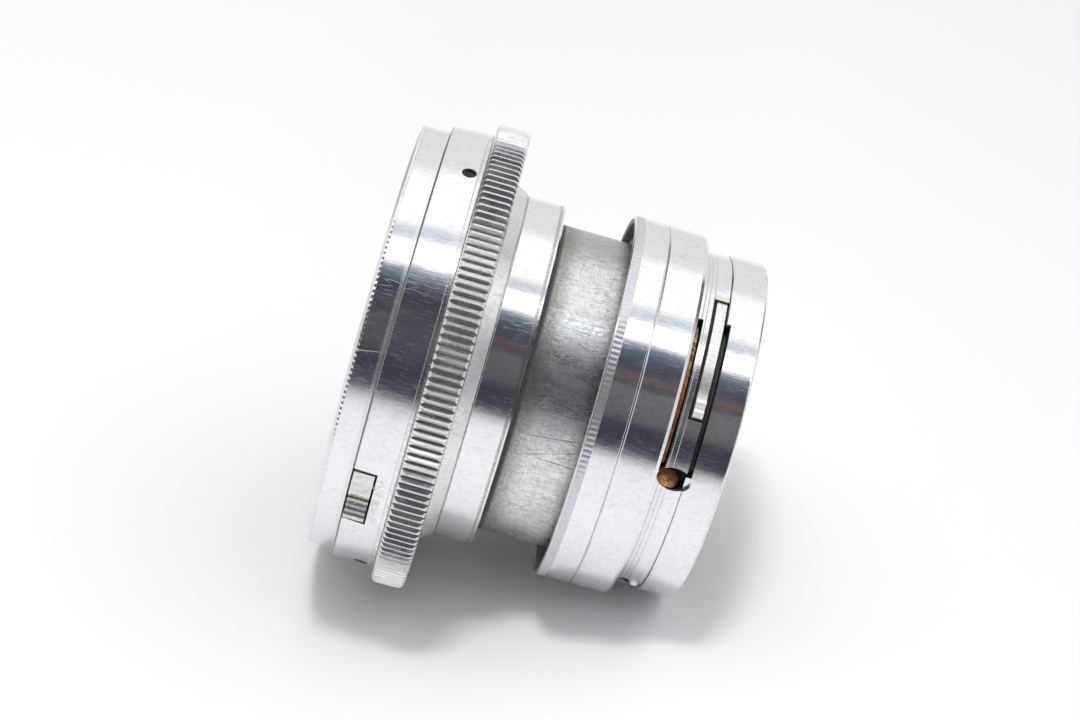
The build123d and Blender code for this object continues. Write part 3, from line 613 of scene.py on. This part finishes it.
def front_paint(name, roughness=0.10):
    """The polish and streaks that the rings of the head share, and a mottle for their stains."""
    paint = Paint(name)
    nodes = paint.nodes
    paint.metal(SILVER, roughness, 0.05)
    paint.turned(0.5, 0.6)
    scuffs(paint, 0.65)
    streaks = nodes.noise(nodes.stretch(paint.mm, 7.0, 0.8, 0.8), 1.0, 3.0, 0.7)
    paint.layer(nodes.smooth(streaks, 0.5, 0.72, 0.0, 0.26), (0.38, 0.38, 0.39), 0.3)
    mottle = nodes.noise(paint.mm, 2.6, 4.0, 0.7)
    return paint, mottle


def index_ring_paint():
    """Brown stain on the shoulder beside the slit."""
    paint, mottle = front_paint("index_ring_alloy")
    nodes = paint.nodes
    shoulder = nodes.product(nodes.smooth(paint.x, 36.72, 36.86), nodes.band(paint.angle, 36, 68, 4),
                             nodes.smooth(mottle, 0.35, 0.6))
    paint.layer(nodes.math("MULTIPLY", shoulder, 0.55), (0.42, 0.30, 0.14), 0.45)
    return paint.done(anisotropic=0.5)


def aperture_ring_paint():
    """A duller milled band, and painted shade in the hollow behind it."""
    paint, mottle = front_paint("aperture_ring_alloy")
    nodes = paint.nodes
    milled = nodes.band(paint.x, 28.0, 29.0, 0.05)
    paint.layer(milled, (0.66, 0.66, 0.70), 0.36, 0.85)
    paint.layer(nodes.product(milled, nodes.smooth(mottle, 0.45, 0.62), 0.4), (0.5, 0.5, 0.5), 0.5)
    # Painted shade: dark grey on the inside of the hollow under the ring.
    hollow = nodes.smooth(paint.radius, 22.3, 22.6, 1.0, 0.0)
    paint.layer(hollow, (0.2, 0.19, 0.17), 0.5)
    return paint.done(anisotropic=0.5)


def groove_ring_paint():
    """Turned lines on the groove's floor, stains by the slit and the leaf, black painted shade down in the
    slit.
    """
    paint, mottle = front_paint("groove_ring_alloy", 0.15)
    nodes = paint.nodes
    lines = nodes.noise(nodes.stretch(paint.mm, 9.0, 0.0, 0.0), 1.0, 1.0)
    floor = nodes.smooth(paint.x, 38.3, 38.6, 1.0, 0.0)
    paint.layer(nodes.product(floor, nodes.smooth(lines, 0.45, 0.6), 0.35), (0.5, 0.5, 0.5), 0.35)
    brown = nodes.product(nodes.smooth(paint.x, 37.0, 37.12, 1.0, 0.0), nodes.band(paint.angle, 36, 68, 4),
                          nodes.smooth(mottle, 0.32, 0.55))
    paint.layer(nodes.math("MULTIPLY", brown, 0.7), (0.38, 0.26, 0.11), 0.45)
    yellow = nodes.product(nodes.band(paint.x, 38.6, 40.3, 0.15), nodes.band(paint.angle, 74.5, 77.5, 1.2))
    paint.layer(nodes.math("MULTIPLY", yellow, 0.45), (0.62, 0.55, 0.36), 0.4)
    # Painted shade: near black down in the deep slit and its end hole.
    deep = nodes.smooth(paint.radius, 20.62, 20.86, 1.0, 0.0)
    paint.layer(deep, (0.022, 0.019, 0.015), 0.7, 0.1)
    return paint.done(anisotropic=0.4)


def front_ring_paint():
    """A worn brown rim, black painted shade in the slit's front arm, dark inside."""
    paint, mottle = front_paint("front_ring_alloy")
    nodes = paint.nodes
    rim = nodes.product(nodes.band(paint.x, 44.5, 44.62, 0.06), nodes.band(paint.angle, -20, 70, 8),
                        nodes.smooth(mottle, 0.38, 0.6))
    paint.layer(nodes.math("MULTIPLY", rim, 0.4), (0.48, 0.38, 0.26), 0.4)
    # Painted shade: black down in the slit's front arm.
    deep = nodes.product(nodes.smooth(paint.radius, 20.9, 21.2, 1.0, 0.0),
                         nodes.smooth(paint.x, 41.0, 41.1, 1.0, 0.0), nodes.smooth(paint.angle, 16, 18.5))
    paint.layer(deep, BLACK, 0.7, 0.0)
    inside = nodes.smooth(paint.radius, 19.3, 19.6, 1.0, 0.0)
    paint.layer(inside, (0.10, 0.10, 0.10), 0.45)
    return paint.done(anisotropic=0.5)


def leaf_paint():
    """Bright spring steel, paler at its lower hump and yellowed at the top."""
    paint = Paint("catch_steel")
    nodes = paint.nodes
    paint.metal((0.88, 0.88, 0.86), 0.30, 0.10, 0.12)
    paint.turned(3.0, 0.7, 0.3)
    paint.metallic = nodes.smooth(paint.angle, 40, 43, 0.35, 1.0)
    stain = nodes.noise(paint.mm, 2.0, 4.0, 0.7)
    tint = nodes.product(nodes.smooth(stain, 0.45, 0.62), nodes.smooth(paint.angle, 58, 74))
    paint.layer(nodes.math("MULTIPLY", tint, 0.5), (0.62, 0.55, 0.38), 0.4)
    return paint.done(0.004)


def steel_paint(name, colour, roughness):
    """Oiled steel with some rust."""
    paint = Paint(name)
    nodes = paint.nodes
    paint.metal(colour, roughness, 0.12, 0.25)
    paint.turned(2.0, 0.8, 0.6)
    rust = nodes.smooth(nodes.noise(paint.mm, 2.2, 5.0, 0.75), 0.56, 0.68)
    paint.layer(nodes.math("MULTIPLY", rust, 0.5), (0.10, 0.055, 0.03), 0.7, 0.4)
    return paint.done(0.004)


def anodised_paint():
    """Matt black inside parts with specks of dust."""
    paint = Paint("black_anodised")
    nodes = paint.nodes
    paint.metal((0.022, 0.022, 0.024), 0.42, 0.12, 0.3)
    paint.turned(2.0, 0.5, 1.0)
    dust = nodes.specks(paint.mm, 1.6, 0.10, 0.10)
    paint.layer(nodes.math("MULTIPLY", dust, 0.5), (0.22, 0.21, 0.20), 0.8)
    paint.metallic = 0.25
    return paint.done(0.006)


def blade_paint():
    """Blued iris blades, rubbed bright in places."""
    paint = Paint("blued_steel")
    nodes = paint.nodes
    paint.metal((0.05, 0.055, 0.075), 0.34, 0.12, 0.3)
    paint.turned(2.0, 0.5, 0.6)
    worn = nodes.smooth(nodes.noise(nodes.stretch(paint.mm, 1, 0.4, 1.6), 1.2, 5.0, 0.7), 0.5, 0.72)
    paint.layer(nodes.math("MULTIPLY", worn, 0.45), (0.20, 0.20, 0.22), 0.3)
    return paint.done(0.003)


def felt_paint():
    """Black felt."""
    paint = Paint("felt")
    nodes = paint.nodes
    paint.metal((0.030, 0.028, 0.026), 0.9, 0.05, 0.4)
    paint.metallic = 0.0
    paint.bump(nodes.noise(paint.mm, 7.0, 5.0, 0.8), 1.0)
    paint.shader.inputs["Sheen Weight"].default_value = 0.4
    return paint.done(0.08)


def glass_paint():
    """Coated glass with a little dust."""
    paint = Paint("lens_glass")
    nodes = paint.nodes
    dust = nodes.specks(paint.mm, 1.3, 0.12, 0.07)
    haze = nodes.noise(paint.mm, 0.6, 4.0, 0.6)
    paint.roughness = nodes.math("MULTIPLY_ADD", dust, 0.4, nodes.smooth(haze, 0.5, 0.8, 0.004, 0.03))
    paint.colour = nodes.mix(nodes.math("MULTIPLY", dust, 0.5), (0.985, 0.99, 0.98, 1), (0.6, 0.6, 0.58, 1))
    paint.metallic = 0.0
    paint.height = dust
    paint.shader.inputs["Transmission Weight"].default_value = 1.0
    paint.shader.inputs["IOR"].default_value = 1.62
    paint.shader.inputs["Coat Weight"].default_value = 0.3
    paint.shader.inputs["Coat Roughness"].default_value = 0.02
    paint.shader.inputs["Coat Tint"].default_value = (0.88, 0.84, 0.97, 1)
    return paint.done(0.002)


def residue_paint():
    """Old dried grease: gold to rust in the slit, amber with a dark crust in the end hole."""
    paint = Paint("old_residue")
    nodes = paint.nodes
    lumps = nodes.noise(paint.mm, 1.7, 5.0, 0.7)
    slit = nodes.mix(nodes.smooth(paint.angle, 40, 60), (0.42, 0.15, 0.045, 1), (0.62, 0.48, 0.20, 1))
    slit = nodes.mix(nodes.smooth(lumps, 0.45, 0.62), slit, (0.11, 0.065, 0.03, 1))
    wander = nodes.math("MULTIPLY_ADD", lumps, 5, paint.angle)
    flecks = nodes.noise(paint.mm, 4.2, 4.0, 0.8)
    gold = nodes.mix(nodes.smooth(flecks, 0.47, 0.60), (0.50, 0.22, 0.05, 1), (0.98, 0.66, 0.26, 1))
    hole = nodes.mix(nodes.smooth(wander, 13.0, 15.2), gold, (0.20, 0.075, 0.022, 1))
    hole = nodes.mix(nodes.smooth(paint.x, 38.6, 39.5), hole, (0.07, 0.035, 0.018, 1))
    hole = nodes.mix(nodes.smooth(lumps, 0.50, 0.60, 0.0, 0.9), hole, (0.16, 0.06, 0.02, 1))
    paint.colour = nodes.mix(nodes.smooth(paint.angle, 15.4, 16.0), hole, slit)
    paint.roughness = nodes.smooth(lumps, 0.3, 0.7, 0.25, 0.5)
    paint.metallic = 0.35
    paint.height = lumps
    return paint.done(0.10)


# ---------------------------------------------------------------- residue

def on_ring(x, radius, angle):
    """A point in metres from its station, radius and angle, in the angles of the materials."""
    turn = radians(angle)
    return Vector((x, -radius * cos(turn), radius * sin(turn))) * MM


BEAD_SIDES = 12
UNEVEN = 0.22


def lump(name, rings, spine, material):
    """A closed uneven bead. The spine gives a ring's middle and its half sizes along x and r."""
    mesh = bmesh.new()
    loops = []
    for i in range(1, rings):
        share = i / rings
        x, radius, angle, wide, deep = spine(share)
        taper = sin(pi * share) ** 0.35
        loop = []
        for k in range(BEAD_SIDES):
            turn = 2 * pi * k / BEAD_SIDES
            place = Vector((7 * share * rings / 12, 1.7 * cos(turn), 1.7 * sin(turn)))
            out = 1 + UNEVEN * noise.noise(place)
            loop.append(mesh.verts.new(on_ring(
                x + wide * taper * out * cos(turn), radius + deep * taper * out * sin(turn), angle)))
        loops.append(loop)
    for a, b in zip(loops, loops[1:]):
        for k in range(BEAD_SIDES):
            after = (k + 1) % BEAD_SIDES
            mesh.faces.new((a[k], a[after], b[after], b[k]))
    for loop, share in ((loops[0][::-1], 0), (loops[-1], 1)):
        x, radius, angle, _, _ = spine(share)
        tip = mesh.verts.new(on_ring(x, radius, angle))
        for k in range(BEAD_SIDES):
            mesh.faces.new((loop[k], loop[(k + 1) % BEAD_SIDES], tip))
    bmesh.ops.recalc_face_normals(mesh, faces=mesh.faces)
    data = bpy.data.meshes.new(name)
    mesh.to_mesh(data)
    mesh.free()
    data.polygons.foreach_set("use_smooth", [True] * len(data.polygons))
    data.materials.append(material)
    piece = bpy.data.objects.new(name, data)
    bpy.context.scene.collection.objects.link(piece)
    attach(piece, "head")


def slit_spine(share):
    """Grease along the rear arm of the slit, upwards from its end hole."""
    station = 37.33
    radius = 20.58 + 0.06 * sin(17 * share)
    angle = 16.4 + 47 * share
    return station, radius, angle, 0.24 + 0.08 * share, 0.26


def hole_spine(share):
    """Grease that lies in the end hole, deeper at its upper end."""
    station = 38.45 - 0.25 * share
    radius = 20.66 - 0.8 * share
    angle = 9.0 + 6.2 * share
    return station, radius, angle, 1.45, 0.34


make_camera()
make_floor()
make_world()
make_softbox()

anodised = anodised_paint()
blued = blade_paint()
glass = glass_paint()
residue = residue_paint()
bright = satin_paint("bright_steel", 0.22, (0.72, 0.72, 0.73))
dark = steel_paint("dark_steel", (0.12, 0.12, 0.125), 0.4)
brass = satin_paint("brass", 0.3, (0.74, 0.55, 0.25))
PAINTS = {
    "rear_ring": rear_ring_paint(), "body_ring": body_ring_paint(), "set_screws": dark,
    "main_barrel": satin_paint("satin_alloy", 0.30), "barrel_screws": dark,
    "thrust_collar": satin_paint("thrust_collar_alloy", 0.34), "guide_collar": guide_collar_paint(),
    "felt_ring": felt_paint(), "guide_key": brass, "catch_pin": bright,
    "release_catch": catch_paint(), "catch_spring": bright, "focus_ring": knurl_paint(),
    "drive_pin": brass, "lens_tube": tube_paint(), "light_baffle": anodised,
    "head_barrel": anodised, "snap_ring": bright, "index_ring": index_ring_paint(),
    "groove_ring": groove_ring_paint(), "catch_leaf": leaf_paint(), "catch_stud": bright,
    "front_ring": front_ring_paint(), "aperture_ring": aperture_ring_paint(),
    "aperture_lug": brass, "cam_ring": brass, "iris_housing": anodised, "iris_retainer": bright,
    "front_cell": anodised, "second_element": glass, "element_spacer": anodised,
    "front_element": glass, "front_retainer": anodised, "trim_ring": anodised,
    "rear_cell": anodised, "rear_negative_element": glass, "rear_positive_element": glass,
    "rear_retainer": anodised,
}
for name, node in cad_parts.items():
    node.data.materials.clear()
    node.data.materials.append(PAINTS.get(name, blued))

lump("slit_residue", 110, slit_spine, residue)
lump("hole_residue", 24, hole_spine, residue)

bpy.context.scene.view_settings.view_transform = "Standard"
